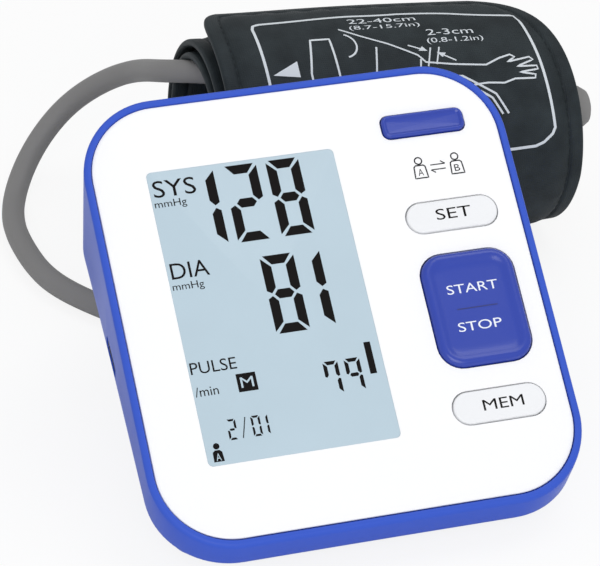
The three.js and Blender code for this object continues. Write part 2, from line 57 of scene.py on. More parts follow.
# ---- Air hose ----------------------------------------------------------------------------
# A grey extruded vinyl tube. It leaves the cuff through the roll's left end, stands up in a
# stiff loop and comes down to the table and to the socket behind the monitor.
HOSE_DIAMETER = 7.6
HOSE_ROUTE = np.array([
    [77.9, 55.1, 46.4], [58.5, 54.9, 48.2], [39.6, 56.3, 52.5], [20.5, 59.1, 57.3],
    [2.7, 62.9, 61.8], [-16.7, 67.5, 65.2], [-34.7, 77, 64.6], [-43.7, 90.6, 58.9],
    [-46.2, 103.9, 52.3], [-53.2, 123, 40.7], [-68.5, 131.9, 26.5], [-82.6, 126, 13.6],
    [-91.4, 112.4, 5.8], [-94.9, 96.4, 4.1], [-94.3, 79.6, 4], [-90.2, 61, 4],
    [-80.6, 44.7, 4.1], [-68.7, 28.6, 5.7], [-65.3, 19.6, 8.2], [-64.6, 12.7, 8.5]])


def smooth_line(points, count):
    """A natural cubic spline through the points against chord length, at evenly spaced places."""
    knots = np.concatenate([[0], np.cumsum(np.linalg.norm(np.diff(points, axis=0), axis=1))])
    gaps = np.diff(knots)
    slopes = np.diff(points, axis=0) / gaps[:, None]
    system = np.eye(len(points))
    wanted = np.zeros_like(points)
    inner = np.arange(1, len(points) - 1)
    system[inner, inner - 1] = gaps[:-1]
    system[inner, inner] = 2 * (gaps[:-1] + gaps[1:])
    system[inner, inner + 1] = gaps[1:]
    wanted[inner] = 6 * (slopes[1:] - slopes[:-1])
    bend = np.linalg.solve(system, wanted)
    places = np.linspace(0, knots[-1], count)
    span = np.clip(np.searchsorted(knots, places, side="right") - 1, 0, len(gaps) - 1)
    gap = gaps[span][:, None]
    near = (knots[span + 1] - places)[:, None]
    far = (places - knots[span])[:, None]
    return (bend[span] * near ** 3 / (6 * gap) + bend[span + 1] * far ** 3 / (6 * gap)
            + (points[span] / gap - bend[span] * gap / 6) * near
            + (points[span + 1] / gap - bend[span + 1] * gap / 6) * far)


def finish_node(name, kind):
    """An empty material with its Principled shader, of that name and kind of node tree."""
    material = bpy.data.materials.new(name)
    material.use_nodes = True
    shader = material.node_tree.nodes["Principled BSDF"]
    for socket, value in kind.items():
        shader.inputs[socket].default_value = value
    return material, material.node_tree.nodes, material.node_tree.links, shader


def linear(red, green, blue):
    """A screen colour of 0 to 255 as the linear colour that the shaders take."""
    part = np.array([red, green, blue]) / 255
    out = np.where(part <= 0.04045, part / 12.92, ((part + 0.055) / 1.055) ** 2.4)
    return (*out.tolist(), 1)


def moulded(name, colour, rough, grain=0.00035, depth=0.04, wear=0.06, mottle=0.93, **extra):
    """A moulded material: fine grain in the surface, faint blotches in colour and gloss."""
    material, nodes, links, shader = finish_node(name, extra)
    place = nodes.new("ShaderNodeTexCoord")
    fine = nodes.new("ShaderNodeTexNoise")
    fine.inputs["Scale"].default_value = 1 / grain
    fine.inputs["Detail"].default_value = 3
    broad = nodes.new("ShaderNodeTexNoise")
    broad.inputs["Scale"].default_value = 45
    broad.inputs["Detail"].default_value = 4
    links.new(place.outputs["Object"], fine.inputs["Vector"])
    links.new(place.outputs["Object"], broad.inputs["Vector"])
    bump = nodes.new("ShaderNodeBump")
    bump.inputs["Strength"].default_value = depth
    bump.inputs["Distance"].default_value = 0.0002
    links.new(fine.outputs["Fac"], bump.inputs["Height"])
    links.new(bump.outputs["Normal"], shader.inputs["Normal"])
    gloss = nodes.new("ShaderNodeMapRange")
    gloss.inputs["To Min"].default_value = rough - wear
    gloss.inputs["To Max"].default_value = rough + wear
    links.new(broad.outputs["Fac"], gloss.inputs["Value"])
    links.new(gloss.outputs["Result"], shader.inputs["Roughness"])
    tint = nodes.new("ShaderNodeMix")
    tint.data_type = "RGBA"
    tint.inputs["A"].default_value = colour
    tint.inputs["B"].default_value = tuple(mottle * c for c in colour[:3]) + (1,)
    links.new(broad.outputs["Fac"], tint.inputs["Factor"])
    links.new(tint.outputs["Result"], shader.inputs["Base Color"])
    return material


grey_rubber = moulded("grey_vinyl", linear(132, 131, 130), 0.5, 0.0006, 0.05,
                      **{"Specular IOR Level": 0.25})
hose_line = smooth_line(HOSE_ROUTE, 240) * 0.001
hose_curve = bpy.data.curves.new("hose", "CURVE")
hose_curve.dimensions = "3D"
hose_curve.bevel_depth = HOSE_DIAMETER / 2000
hose_curve.bevel_resolution = 8
hose_curve.use_fill_caps = True
hose_spline = hose_curve.splines.new("POLY")
hose_spline.points.add(len(hose_line) - 1)
hose_spline.points.foreach_set("co", np.column_stack([hose_line, np.ones(len(hose_line))]).ravel())
hose_spline.use_smooth = True
hose = bpy.data.objects.new("hose", hose_curve)
bpy.context.scene.collection.objects.link(hose)
hose_curve.materials.append(grey_rubber)
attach(hose, "cuff_and_hose")
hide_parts("air_hose")

# ---- Cuff --------------------------------------------------------------------------------
# A strip of coated black nylon over a bladder, hemmed and stitched all round and rolled 2.2
# turns. Its loose end lies on top of the roll, which narrows a little towards the right.
CUFF_CORNER = np.array([-29.6, 67.1, 0.0])
CUFF_TURN = math.radians(2)
RADIUS_LEFT = 43.75
RADIUS_RIGHT = 36.9
RADIUS_SPAN = 126
CONE = math.asin((RADIUS_LEFT - RADIUS_RIGHT) / RADIUS_SPAN)
ROLL_AXIS = np.array([math.cos(CUFF_TURN) * math.cos(CONE), math.sin(CUFF_TURN) * math.cos(CONE),
                      -math.sin(CONE)])
ROLL_BACK = np.array([-math.sin(CUFF_TURN), math.cos(CUFF_TURN), 0])
ROLL_UP = np.cross(ROLL_AXIS, ROLL_BACK)
ROLL_START = CUFF_CORNER + np.array([0, 0, RADIUS_LEFT / math.cos(CONE)])
FLAP_END = -22
WOUND = 792
STRIP_THICK = 3.8
HEM = 5.0
RUN_RADIUS = 39
STRIP_LEFT = -8.4
DROP_START = 205


def on_roll(along, degrees, radius):
    """A point along the roll's axis, turned from the top towards the front, at a radius, in metres."""
    angle = np.radians(degrees)
    spread = lambda amount, way: np.asarray(amount)[..., None] * way
    return 0.001 * (ROLL_START + spread(along, ROLL_AXIS) + spread(radius * np.cos(angle), ROLL_UP)
                    - spread(radius * np.sin(angle), ROLL_BACK))


def roll_radius(along):
    """The cone's radius, which falls evenly from the left end to the right, less a droop of
    1.7 mm at the left end that fades out over 38 mm."""
    droop = 1.7 * np.exp(-((along - STRIP_LEFT) / 38) ** 2)
    return RADIUS_LEFT - (RADIUS_LEFT - RADIUS_RIGHT) * along / RADIUS_SPAN - droop


def winding_drop(wound):
    """How far the strip has wound inwards: none up to DROP_START degrees, 8 by the first full
    turn, then 4.2 a turn."""
    share = np.clip((wound - DROP_START) / (360 - DROP_START), 0, 1)
    first = 8 * share ** 2 * (3 - 2 * share)
    return np.where(wound > 360, 8 + 4.2 * (wound - 360) / 360, first)


def strip_edges(wound):
    """The strip's left and right edges along the axis, with the loose end's rounded corners."""
    run = np.radians(wound) * RUN_RADIUS
    left = STRIP_LEFT + 8 * np.exp(-run / 5) - 0.8 * wound / 360
    right = 113 - 24 * np.exp(-run / 14) - 4 * np.clip(1 - run / 82, 0, 1) - 5 * wound / 360
    return left, right


def hem_depth(margin):
    """How deep the face lies at a distance from the nearest edge: a rounded rim, a thin hem, a
    stitched groove and then the full pad."""
    rim = 1.0 - np.sqrt(np.clip(1 - (1 - np.clip(margin, 0, 1)) ** 2, 0, 1))
    rise = np.clip((margin - HEM) / 5, 0, 1)
    hem = 0.75 * (1 - rise * rise * (3 - 2 * rise))
    groove = 0.6 * np.exp(-((margin - HEM) / 0.55) ** 2)
    return rim + hem + groove


def ripple(along, wound, margin):
    """Soft unevenness of the cloth: slow waves over the pad and small puckers beside the stitching."""
    run = np.radians(wound) * RUN_RADIUS
    slow = (0.22 * np.sin(along / 17 + run / 31) + 0.16 * np.sin(along / 9.5 - run / 23 + 1.3)
            + 0.1 * np.sin(along / 5.1 + run / 12.7))
    pucker = 0.22 * np.sin((along + run) / 1.45) * np.exp(-((margin - HEM - 1.6) / 1.9) ** 2)
    return (slow * np.clip(margin / 12, 0, 1) + pucker) * np.clip(run / 6, 0, 1)


def cloth_radius(along, wound):
    """Radius of the strip's outer face there."""
    left, right = strip_edges(wound)
    run = np.radians(wound) * RUN_RADIUS
    margin = np.minimum(np.minimum(along - left, right - along), run)
    return (roll_radius(along) - winding_drop(wound) - hem_depth(margin)
            + ripple(along, wound, margin))


def new_piece(name, points, faces, material, uv=None, smooth=True):
    """A mesh object at the origin from points in metres and faces, with its material."""
    mesh = bpy.data.meshes.new(name)
    mesh.from_pydata(np.asarray(points).reshape(-1, 3).tolist(), [], faces)
    mesh.update()
    if smooth:
        mesh.shade_smooth()
    if uv is not None:
        layer = mesh.uv_layers.new(name="UVMap")
        corners = np.empty(len(mesh.loops), np.int64)
        mesh.loops.foreach_get("vertex_index", corners)
        layer.data.foreach_set("uv", np.asarray(uv)[corners].astype(np.float32).ravel())
    mesh.materials.append(material)
    piece = bpy.data.objects.new(name, mesh)
    bpy.context.scene.collection.objects.link(piece)
    return piece


def grid_faces(rows, columns, wrap):
    """Four-cornered faces of a grid of points, its columns joined round when wrap is true."""
    row, column = np.meshgrid(np.arange(rows - 1), np.arange(columns if wrap else columns - 1),
                              indexing="ij")
    beside = (column + 1) % columns
    return np.stack([row * columns + column, row * columns + beside, (row + 1) * columns + beside,
                     (row + 1) * columns + column], -1).reshape(-1, 4).tolist()


def cloth(name, colour, light, pitch=0.0006, rough=0.62):
    """Plain woven nylon: two crossed sets of threads on the strip's own length and width, with
    slow changes of tone."""
    material, nodes, links, shader = finish_node(
        name, {"Specular IOR Level": 0.16})
    place = nodes.new("ShaderNodeUVMap")
    place.uv_map = "UVMap"
    threads = []
    for way in ("X", "Y"):
        wave = nodes.new("ShaderNodeTexWave")
        wave.bands_direction = way
        wave.inputs["Scale"].default_value = 0.05 / pitch * 2 * math.pi
        wave.inputs["Distortion"].default_value = 0.5
        links.new(place.outputs["UV"], wave.inputs["Vector"])
        threads.append(wave)
    weave = nodes.new("ShaderNodeMath")
    weave.operation = "MULTIPLY"
    links.new(threads[0].outputs["Fac"], weave.inputs[0])
    links.new(threads[1].outputs["Fac"], weave.inputs[1])
    broad = nodes.new("ShaderNodeTexNoise")
    broad.inputs["Scale"].default_value = 110
    broad.inputs["Detail"].default_value = 5
    links.new(place.outputs["UV"], broad.inputs["Vector"])
    bump = nodes.new("ShaderNodeBump")
    bump.inputs["Strength"].default_value = 0.45
    bump.inputs["Distance"].default_value = 0.0002
    links.new(weave.outputs["Value"], bump.inputs["Height"])
    links.new(bump.outputs["Normal"], shader.inputs["Normal"])
    tone = nodes.new("ShaderNodeMix")
    tone.data_type = "RGBA"
    tone.inputs["A"].default_value = colour
    tone.inputs["B"].default_value = light
    links.new(broad.outputs["Fac"], tone.inputs["Factor"])
    links.new(tone.outputs["Result"], shader.inputs["Base Color"])
    gloss = nodes.new("ShaderNodeMapRange")
    gloss.inputs["To Min"].default_value = rough - 0.08
    gloss.inputs["To Max"].default_value = rough + 0.08
    links.new(weave.outputs["Value"], gloss.inputs["Value"])
    links.new(gloss.outputs["Result"], shader.inputs["Roughness"])
    return material


black_nylon = cloth("black_nylon", linear(20, 25, 28), linear(54, 62, 65), 0.0007)
RIM = np.array([0, 0.12, 0.35, 0.7, 1.2, 2, 3, 3.9, 4.4, 4.75, 5, 5.25, 5.6, 6.2, 7.2, 8.6, 10.4])
wound_at_rim = np.degrees(RIM / RUN_RADIUS)
wound = np.concatenate([wound_at_rim, np.arange(19, WOUND - 1, 3.4), [WOUND]])
left_edge, right_edge = strip_edges(wound)
width = right_edge - left_edge
middle = np.linspace(0, 1, 40)[1:-1]
inner_span = width[:, None] - 2 * RIM[-1]
across = np.concatenate([
    np.broadcast_to(RIM, (len(wound), len(RIM))), RIM[-1] + inner_span * middle,
    width[:, None] - np.broadcast_to(RIM[::-1], (len(wound), len(RIM)))], 1)
along = left_edge[:, None] + across
turned = np.broadcast_to(wound[:, None], along.shape)
outside = on_roll(along, FLAP_END + turned, cloth_radius(along, turned))
run = np.radians(turned) * RUN_RADIUS
margin = np.minimum(np.minimum(across, width[:, None] - across), run)
inner_radius = (roll_radius(along) - winding_drop(turned) - STRIP_THICK + 0.8 * hem_depth(margin))
inside = on_roll(along, FLAP_END + turned, inner_radius)[:, ::-1]
strip_points = np.concatenate([outside, inside], 1)
rows, columns = strip_points.shape[:2]
strip_uv = np.stack([np.concatenate([across, across[:, ::-1]], 1), np.concatenate([run, run], 1)], -1)
strip_faces = grid_faces(rows, columns, True)
strip_faces += [list(range(columns))[::-1], [(rows - 1) * columns + i for i in range(columns)]]
cuff_cloth = new_piece("cuff_cloth", strip_points, strip_faces, black_nylon,
                       uv=0.001 * strip_uv.reshape(-1, 2))
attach(cuff_cloth, "cuff_and_hose")
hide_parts("cuff_outer_cloth", "cuff_lining")

# ---- Stitching on the cuff ----------------------------------------------------------------
# Black polyester lockstitch, one row all along the hem of the strip and across its loose end.
# Each stitch is a short thread that dips into the cloth at both ends.
STITCH_PITCH = 3.0
STITCH_LONG = 2.3
THREAD = 0.45


def stitch_row(points, normals):
    """A short thread at each point, lying along the row: a closed six-sided tube, thick in its middle
    and pinched into the cloth at both ends."""
    way = np.gradient(points, axis=0)
    way /= np.linalg.norm(way, axis=1)[:, None]
    side = np.cross(way, normals)
    share = np.linspace(-1, 1, 6)
    swell = np.sqrt(np.clip(1 - share ** 4, 0.05, 1))
    ring = np.arange(6) / 6 * 2 * math.pi
    half = THREAD / 2000
    centre = points[:, None] + way[:, None] * share[None, :, None] * STITCH_LONG / 2000
    centre = centre + normals[:, None] * (half * (0.55 * swell - 0.5))[None, :, None]
    spread = (side[:, None, None] * np.cos(ring)[None, None, :, None]
              + normals[:, None, None] * np.sin(ring)[None, None, :, None])
    body = centre[:, :, None] + spread * (half * swell)[None, :, None, None]
    count = len(points)
    faces = np.array(grid_faces(6, 6, True))
    ends = np.array([[5, 4, 3, 2, 1, 0], [30, 31, 32, 33, 34, 35]])
    lift = np.arange(count)[:, None, None] * 36
    return body.reshape(-1, 3), (faces[None] + lift).reshape(-1, 4).tolist() + (
        ends[None] + lift).reshape(-1, 6).tolist()


def join_parts(parts):
    """Points and faces of several parts as one list of each."""
    points, faces, count = [], [], 0
    for more_points, more_faces in parts:
        points.append(np.asarray(more_points).reshape(-1, 3))
        faces += [[i + count for i in face] for face in more_faces]
        count += len(points[-1])
    return np.concatenate(points), faces


def roll_way_out(degrees):
    """The outward direction of the roll's face at an angle from its top."""
    angle = np.radians(degrees)[..., None]
    return ROLL_UP * np.cos(angle) - ROLL_BACK * np.sin(angle)


hem_run = np.arange(HEM, 420, STITCH_PITCH)
hem_wound = np.degrees(hem_run / RUN_RADIUS)
hem_left, hem_right = strip_edges(hem_wound)
hem_rows = []
for hem_along in (hem_left + HEM, hem_right - HEM):
    radius = cloth_radius(hem_along, hem_wound)
    hem_rows.append(stitch_row(on_roll(hem_along, FLAP_END + hem_wound, radius),
                               roll_way_out(FLAP_END + hem_wound)))
end_wound = np.degrees(HEM / RUN_RADIUS)
end_left, end_right = strip_edges(end_wound)
end_along = np.arange(end_left + HEM + STITCH_PITCH, end_right - HEM, STITCH_PITCH)
end_turn = np.full_like(end_along, end_wound)
hem_rows.append(stitch_row(on_roll(end_along, FLAP_END + end_turn, cloth_radius(end_along, end_turn)),
                           roll_way_out(FLAP_END + end_turn)))
black_thread = moulded("black_thread", linear(38, 43, 46), 0.7, 0.0002, 0.2,
                       **{"Specular IOR Level": 0.2})
stitching = new_piece("cuff_stitching", *join_parts(hem_rows), black_thread)
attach(stitching, "cuff_and_hose")

# ---- Printing on the cuff ------------------------------------------------------------------
# White screen print that shows how the cuff goes on an arm: a frame, the range of arm sizes, a
# plain outline of an arm and hand, and the place of the lower edge above the elbow.
print_white = moulded("white_print", linear(214, 220, 224), 0.6, 0.0003, 0.1)
ROLL_MEAN = RUN_RADIUS * math.radians(1)


def ribbon(points, width, closed=False, step=1.0):
    """A flat stroke along straight runs between points: the run is filled in every step, and each
    place moves half the width to either side, square to the run's direction there."""
    points = np.asarray(points, float)
    if closed:
        points = np.vstack([points, points[:1]])
    dense = [points[:1]]
    for start, end in zip(points[:-1], points[1:]):
        count = max(1, int(np.linalg.norm(end - start) / step))
        dense.append(start + (end - start) * (np.arange(1, count + 1) / count)[:, None])
    line = np.concatenate(dense)
    if closed:
        line = line[:-1]
        way = np.roll(line, -1, 0) - np.roll(line, 1, 0)
    else:
        way = np.gradient(line, axis=0)
    way /= np.linalg.norm(way, axis=1)[:, None]
    side = np.column_stack([-way[:, 1], way[:, 0]]) * width / 2
    count = len(line)
    flat = np.stack([line - side, line + side], 1).reshape(-1, 2)
    first = np.arange(count if closed else count - 1)
    after = (first + 1) % count
    return flat, np.stack([2 * first, 2 * after, 2 * after + 1, 2 * first + 1], 1).tolist()


def arc(x, y, radius, start, end, count=24):
    """Points on a circle about x, y between two angles in degrees, counted from +X."""
    angle = np.radians(np.linspace(start, end, count))
    return np.column_stack([x + radius * np.cos(angle), y + radius * np.sin(angle)])


def patch(points):
    """A flat filled shape with that outline."""
    return np.asarray(points, float), [list(range(len(points)))]


def words(text, left, low, right, high):
    """Words in a plain upright letter, filled and stretched to a box."""
    curve = bpy.data.curves.new("words", "FONT")
    curve.body = text
    curve.resolution_u = 4
    holder = bpy.data.objects.new("words", curve)
    bpy.context.scene.collection.objects.link(holder)
    graph = bpy.context.evaluated_depsgraph_get()
    mesh = bpy.data.meshes.new_from_object(holder.evaluated_get(graph))
    flat = np.empty(len(mesh.vertices) * 3, np.float32)
    mesh.vertices.foreach_get("co", flat)
    flat = flat.reshape(-1, 3)[:, :2].astype(float)
    faces = [list(face.vertices) for face in mesh.polygons]
    bpy.data.meshes.remove(mesh)
    bpy.data.objects.remove(holder)
    bpy.data.curves.remove(curve)
    start, span = flat.min(0), np.ptp(flat, axis=0)
    return np.array([left, low]) + (flat - start) / span * np.array([right - left, high - low]), faces


def lay(name, parts, place, material, body):
    """Flat parts joined and laid on a surface by place(across, up), faces towards the reader."""
    flat, faces = join_flat(parts)
    points = place(flat[:, 0], flat[:, 1])
    piece = new_piece(name, points, faces, material, smooth=False)
    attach(piece, body)
    return piece


def join_flat(parts):
    """Flat points and faces of several parts as one list of each, all wound the same way."""
    points, faces, count = [], [], 0
    for flat, some in parts:
        for face in some:
            ring = flat[face]
            turn_sum = np.sum(ring[:, 0] * np.roll(ring[:, 1], -1) - ring[:, 1] * np.roll(ring[:, 0], -1))
            order = face if turn_sum > 0 else face[::-1]
            faces.append([i + count for i in order])
        points.append(flat)
        count += len(flat)
    return np.concatenate(points), faces


def on_cuff(across, up, lift=0.12):
    """A place on the roll's outer face: along the axis, and up from the middle line at the front
    measured round the roll, in millimetres."""
    degrees = -up / ROLL_MEAN
    turned_to = degrees - FLAP_END
    return on_roll(across, degrees, cloth_radius(across, turned_to) + lift)


def deg(along, degrees):
    """A place in the print's own flat millimetres from a place along the axis and an angle."""
    return [along, -degrees * ROLL_MEAN]


frame_line = np.concatenate([
    [deg(8.5, 2.4), deg(39, -0.1), deg(56, -0.1), deg(73, 1.7), deg(95, 6)],
    [deg(96, 10), deg(98, 35), deg(100, 69), deg(99, 72), deg(96, 75.5), deg(93, 77)],
    [deg(60, 77.5), deg(20, 77.5), deg(8, 77), deg(5.9, 74), deg(5.7, 40), deg(5.7, 6), deg(6.4, 3.4)]])
cuff_print = [
    ribbon(frame_line, 0.95, closed=True),
    words("22-40cm", 38, *deg(0, 6.2)[1:], 61, -2.6 * ROLL_MEAN),
    words("(8.7-15.7in)", 37.5, -11.4 * ROLL_MEAN, 61.5, -7.8 * ROLL_MEAN),
    words("2-3cm", 62.5, -17.3 * ROLL_MEAN, 78.5, -13.4 * ROLL_MEAN),
    words("(0.8-1.2in)", 61.6, -22.8 * ROLL_MEAN, 81, -19 * ROLL_MEAN),
    patch([deg(7.5, 33), deg(16.3, 27), deg(16.2, 35)]),
    ribbon([deg(22.8, 16), deg(29.2, 16), deg(29.2, 70), deg(20, 70), deg(20, 34)], 0.7, closed=True),
    ribbon([deg(33.6, 10), deg(40, 15), deg(48.2, 20.6), deg(57, 28.3), deg(59, 32.2), deg(68, 34.2),
            deg(79.1, 35.9), deg(84, 33), deg(88, 31.5), deg(89.5, 33), deg(86.5, 35.4),
            deg(94.5, 33.4), deg(95.6, 35), deg(89.5, 38), deg(96.4, 38.2), deg(96.6, 40), deg(90, 41),
            deg(95.4, 42.6), deg(95, 44.4), deg(88, 44), deg(84, 45.6), deg(78.4, 44.8),
            deg(66, 45.8), deg(52, 48), deg(40, 47), deg(33.6, 44)], 0.6),
    ribbon(arc(33, -0.35 * RUN_RADIUS, 4.6, -80, 70), 0.6),
    ribbon([deg(44, 22), deg(40, 46)], 0.6), ribbon([deg(57.6, 30.5), deg(54.5, 47.4)], 0.6),
    ribbon([deg(61.9, 24.6), deg(59.5, 34.4)], 0.5), ribbon([deg(64.9, 24.6), deg(62.5, 33.6)], 0.5),
    ribbon([deg(54.6, 22.4), deg(59.4, 25.6)], 0.5), ribbon([deg(69.4, 32.4), deg(64.6, 28.2)], 0.5),
    patch([deg(60.6, 26.4), deg(57.6, 25.9), deg(59.2, 23.6)]),
    patch([deg(63.6, 27.4), deg(66.6, 28), deg(65.1, 30.2)]),
    ribbon([deg(54.5, 39), deg(62, 39.6), deg(70.3, 40.5), deg(75, 45), deg(80.5, 50.4), deg(84, 60)], 0.7),
    ribbon([deg(54.5, 41), deg(62, 41.6), deg(69.3, 42.5), deg(74, 47), deg(79, 52), deg(82, 60)], 0.7),
]
lay("cuff_print", cuff_print, on_cuff, print_white, "cuff_and_hose")

# ---- Frame of the monitor --------------------------------------------------------------------
# A wedge-shaped wall of glossy blue plastic, moulded in one piece with a narrow rounded lip that
# stands round the white plate. A slot in its left side takes the mains lead.
MONITOR_PLACE = np.array([-26.6, -102.4, 0.0])
DECK_TILT = math.radians(22)
FACE_TILT = math.radians(13.3)
DECK_LIFT = 6.0
FRAME_WIDE = 130.0
FACE_LONG = 140.8
FRAME_FRONT = 10.4
FRAME_CORNER = 24.0
WALL = 2.2
DECK_LONG = FACE_LONG * math.cos(FACE_TILT)


def on_deck(x, y, z):
    """A place in the frame's own plan, turned up by the tilt of its underside, in metres."""
    up, out = math.sin(DECK_TILT), math.cos(DECK_TILT)
    return 0.001 * (MONITOR_PLACE + np.stack(np.broadcast_arrays(
        x, y * out - z * up, DECK_LIFT + y * up + z * out), -1))


def on_face(x, y, z=0.0):
    """A place on the white plate, from its centre, and a height above it, in metres."""
    up, out = math.sin(FACE_TILT), math.cos(FACE_TILT)
    half = FACE_LONG / 2
    return on_deck(x, half * out + y * out - z * up, FRAME_FRONT + half * up + y * up + z * out)


def rounded_ring(wide, long, corner, arcs=20, sides=14):
    """Points round a rectangle with round corners, the same number on each corner and side, so
    that a smaller ring's points lie square inside a larger one's."""
    half_wide, half_long = wide / 2 - corner, long / 2 - corner
    rings = []
    for start, (x, y) in enumerate([(half_wide, -half_long), (half_wide, half_long),
                                    (-half_wide, half_long), (-half_wide, -half_long)]):
        angle = np.radians(-90 + 90 * start) + np.linspace(0, math.pi / 2, arcs)
        rings.append(np.column_stack([x + corner * np.cos(angle), y + corner * np.sin(angle)]))
    out = []
    for here, beyond in zip(rings, rings[1:] + rings[:1]):
        out.append(here)
        share = (np.arange(1, sides) / sides)[:, None]
        out.append(here[-1] + (beyond[0] - here[-1]) * share)
    return np.concatenate(out)


def carved(piece, *cutters):
    """piece with each cutter's room taken out of it; the cutters are removed."""
    for cutter in cutters:
        cut = piece.modifiers.new("cut", "BOOLEAN")
        cut.solver = "EXACT"
        cut.object = cutter
    graph = bpy.context.evaluated_depsgraph_get()
    mesh = bpy.data.meshes.new_from_object(piece.evaluated_get(graph))
    piece.modifiers.clear()
    piece.data = mesh
    for cutter in cutters:
        bpy.data.objects.remove(cutter)
    return piece


def crisp(piece, degrees=32):
    """Smooth shading that breaks at edges sharper than that."""
    piece.data.shade_smooth()
    piece.data.set_sharp_from_angle(angle=math.radians(degrees))


blue_gloss = moulded("blue_gloss", linear(60, 92, 200), 0.32, 0.0005, 0.03, 0.04,
                     **{"Specular IOR Level": 0.12})


def frame_ring(inset, below=None, height=None):
    """A ring of the frame's wall: the outline moved in, at a drop below the face or at a height
    above the underside."""
    ring = rounded_ring(FRAME_WIDE - 2 * inset, DECK_LONG - 2 * inset, FRAME_CORNER - inset)
    ring = ring + [0, DECK_LONG / 2]
    top = FRAME_FRONT + ring[:, 1] * math.tan(FACE_TILT)
    level = np.full(len(ring), height) if below is None else top - below
    return on_deck(ring[:, 0], ring[:, 1], level)


def leaning_ring(inset, height):
    """A ring near the underside, where the wall has leaned in by a twentieth of its height."""
    ring = frame_ring(inset, height=height)
    full = frame_ring(inset, below=0)
    tall = np.linalg.norm(full - ring, axis=1)[:, None]
    centre = ring.mean(0)
    inward = centre - ring
    inward /= np.linalg.norm(inward, axis=1)[:, None]
    return ring + inward * tall * 0.05


lip = np.radians(np.linspace(0, 90, 8))
frame_rings = [leaning_ring(1.2, 0), leaning_ring(0.5, 0.15), leaning_ring(0.15, 0.5),
               leaning_ring(0, 1.2), frame_ring(0.1, below=4.0), frame_ring(0, below=2.0)]
frame_rings += [frame_ring(1.1 - 1.1 * math.cos(a), below=1.1 - 1.1 * math.sin(a)) for a in lip]
frame_rings += [frame_ring(1.75, below=0), frame_ring(2.05, below=0.06), frame_ring(WALL, below=0.3),
                frame_ring(WALL, below=2.3), frame_ring(5.2, below=2.3), frame_ring(5.2, below=3.6),
                frame_ring(WALL, below=4.1), frame_ring(4.4, height=0.3), frame_ring(4.2, height=0)]
frame_points = np.stack(frame_rings)
frame_faces = grid_faces(len(frame_points) + 1, frame_points.shape[1], True)
frame_total = frame_points.shape[0] * frame_points.shape[1]
frame_faces = [[i % frame_total for i in face] for face in frame_faces]
side_frame = new_piece("side_frame_shell", frame_points, frame_faces, blue_gloss)


def prism_of(ring, low, high, place):
    """A closed prism on a flat ring between two heights, laid by place(x, y, z)."""
    count = len(ring)
    points = np.concatenate([place(ring[:, 0], ring[:, 1], low), place(ring[:, 0], ring[:, 1], high)])
    here = np.arange(count)
    beside = (here + 1) % count
    faces = np.stack([here, beside, count + beside, count + here], 1).tolist()
    return points, faces + [list(range(count))[::-1], list(range(count, 2 * count))]


slot_ring = rounded_ring(13, 5.4, 1.6, 6, 2)
slot_cutter = new_piece("slot_cutter", *prism_of(
    slot_ring, -8, 8, lambda y, z, x: on_deck(x - FRAME_WIDE / 2, y + 73.5, z + 4.4)), blue_gloss)
carved(side_frame, slot_cutter)
crisp(side_frame, 40)
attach(side_frame, "monitor")
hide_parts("side_frame")

# ---- White plate -------------------------------------------------------------------------------
# The front cover: a white plate, a little crowned, that sits inside the lip with a hairline gap.
# It has openings for the display and the four keys.
white_gloss = moulded("white_gloss", linear(248, 248, 249), 0.32, 0.0006, 0.01, 0.03, 0.985)
PLATE_WIDE = 125.0
PLATE_LONG = 135.5
PLATE_CORNER = 21.6
CROWN = 0.35
DISPLAY = (-18.1, 0.6, 57.3, 92.5)
KEYS = {"user_switch": (39.7, 51.0, 25.4, 7.2, 2.2), "set": (41.7, 20.6, 28.0, 9.6, 4.7),
        "start_stop": (41.9, -9.7, 28.5, 35.8, 7.0), "memory": (41.6, -40.2, 28.0, 9.8, 4.8)}


def plate_height(x, y):
    """The crown: level in the middle, and down by a third of a millimetre at the rim."""
    reach = (np.abs(2 * x / PLATE_WIDE) ** 4 + np.abs(2 * y / PLATE_LONG) ** 4) ** 0.25
    return -CROWN * reach ** 6


def filled(rings, centre_first, centre_last):
    """A closed body from a stack of rings, with a point that closes it at each end."""
    rows, columns = rings.shape[:2]
    points = np.concatenate([rings.reshape(-1, 3), [centre_first, centre_last]])
    here = np.arange(columns)
    beside = (here + 1) % columns
    last = (rows - 1) * columns
    low_cap = np.stack([beside, here, np.full(columns, rows * columns)], 1).tolist()
    high_cap = np.stack([last + here, last + beside, np.full(columns, rows * columns + 1)], 1).tolist()
    return points, grid_faces(rows, columns, True) + low_cap + high_cap


plate_ring = rounded_ring(PLATE_WIDE, PLATE_LONG, PLATE_CORNER)
low_ring = rounded_ring(PLATE_WIDE, PLATE_LONG - 1.0, PLATE_CORNER)
plate_rings = [on_face(low_ring[:, 0] * s, low_ring[:, 1] * s, -2.0) for s in (0.4, 1)]
edge = plate_height(plate_ring[:, 0], plate_ring[:, 1])
plate_rings.append(on_face(plate_ring[:, 0], plate_ring[:, 1], edge - 0.35))
for inset, drop in ((0.1, 0.12), (0.3, 0.02)):
    ring = rounded_ring(PLATE_WIDE - 2 * inset, PLATE_LONG - 2 * inset, PLATE_CORNER - inset)
    plate_rings.append(on_face(ring[:, 0], ring[:, 1], plate_height(ring[:, 0], ring[:, 1]) - drop))
for share in (0.985, 0.96, 0.92, 0.86, 0.78, 0.68, 0.56, 0.42, 0.28, 0.14, 0.05):
    ring = plate_ring * share
    plate_rings.append(on_face(ring[:, 0], ring[:, 1], plate_height(ring[:, 0], ring[:, 1])))
plate = new_piece("front_plate", *filled(np.stack(plate_rings), on_face(0.0, 0.0, -2.0),
                                         on_face(0.0, 0.0, 0.0)), white_gloss)
cutters = []
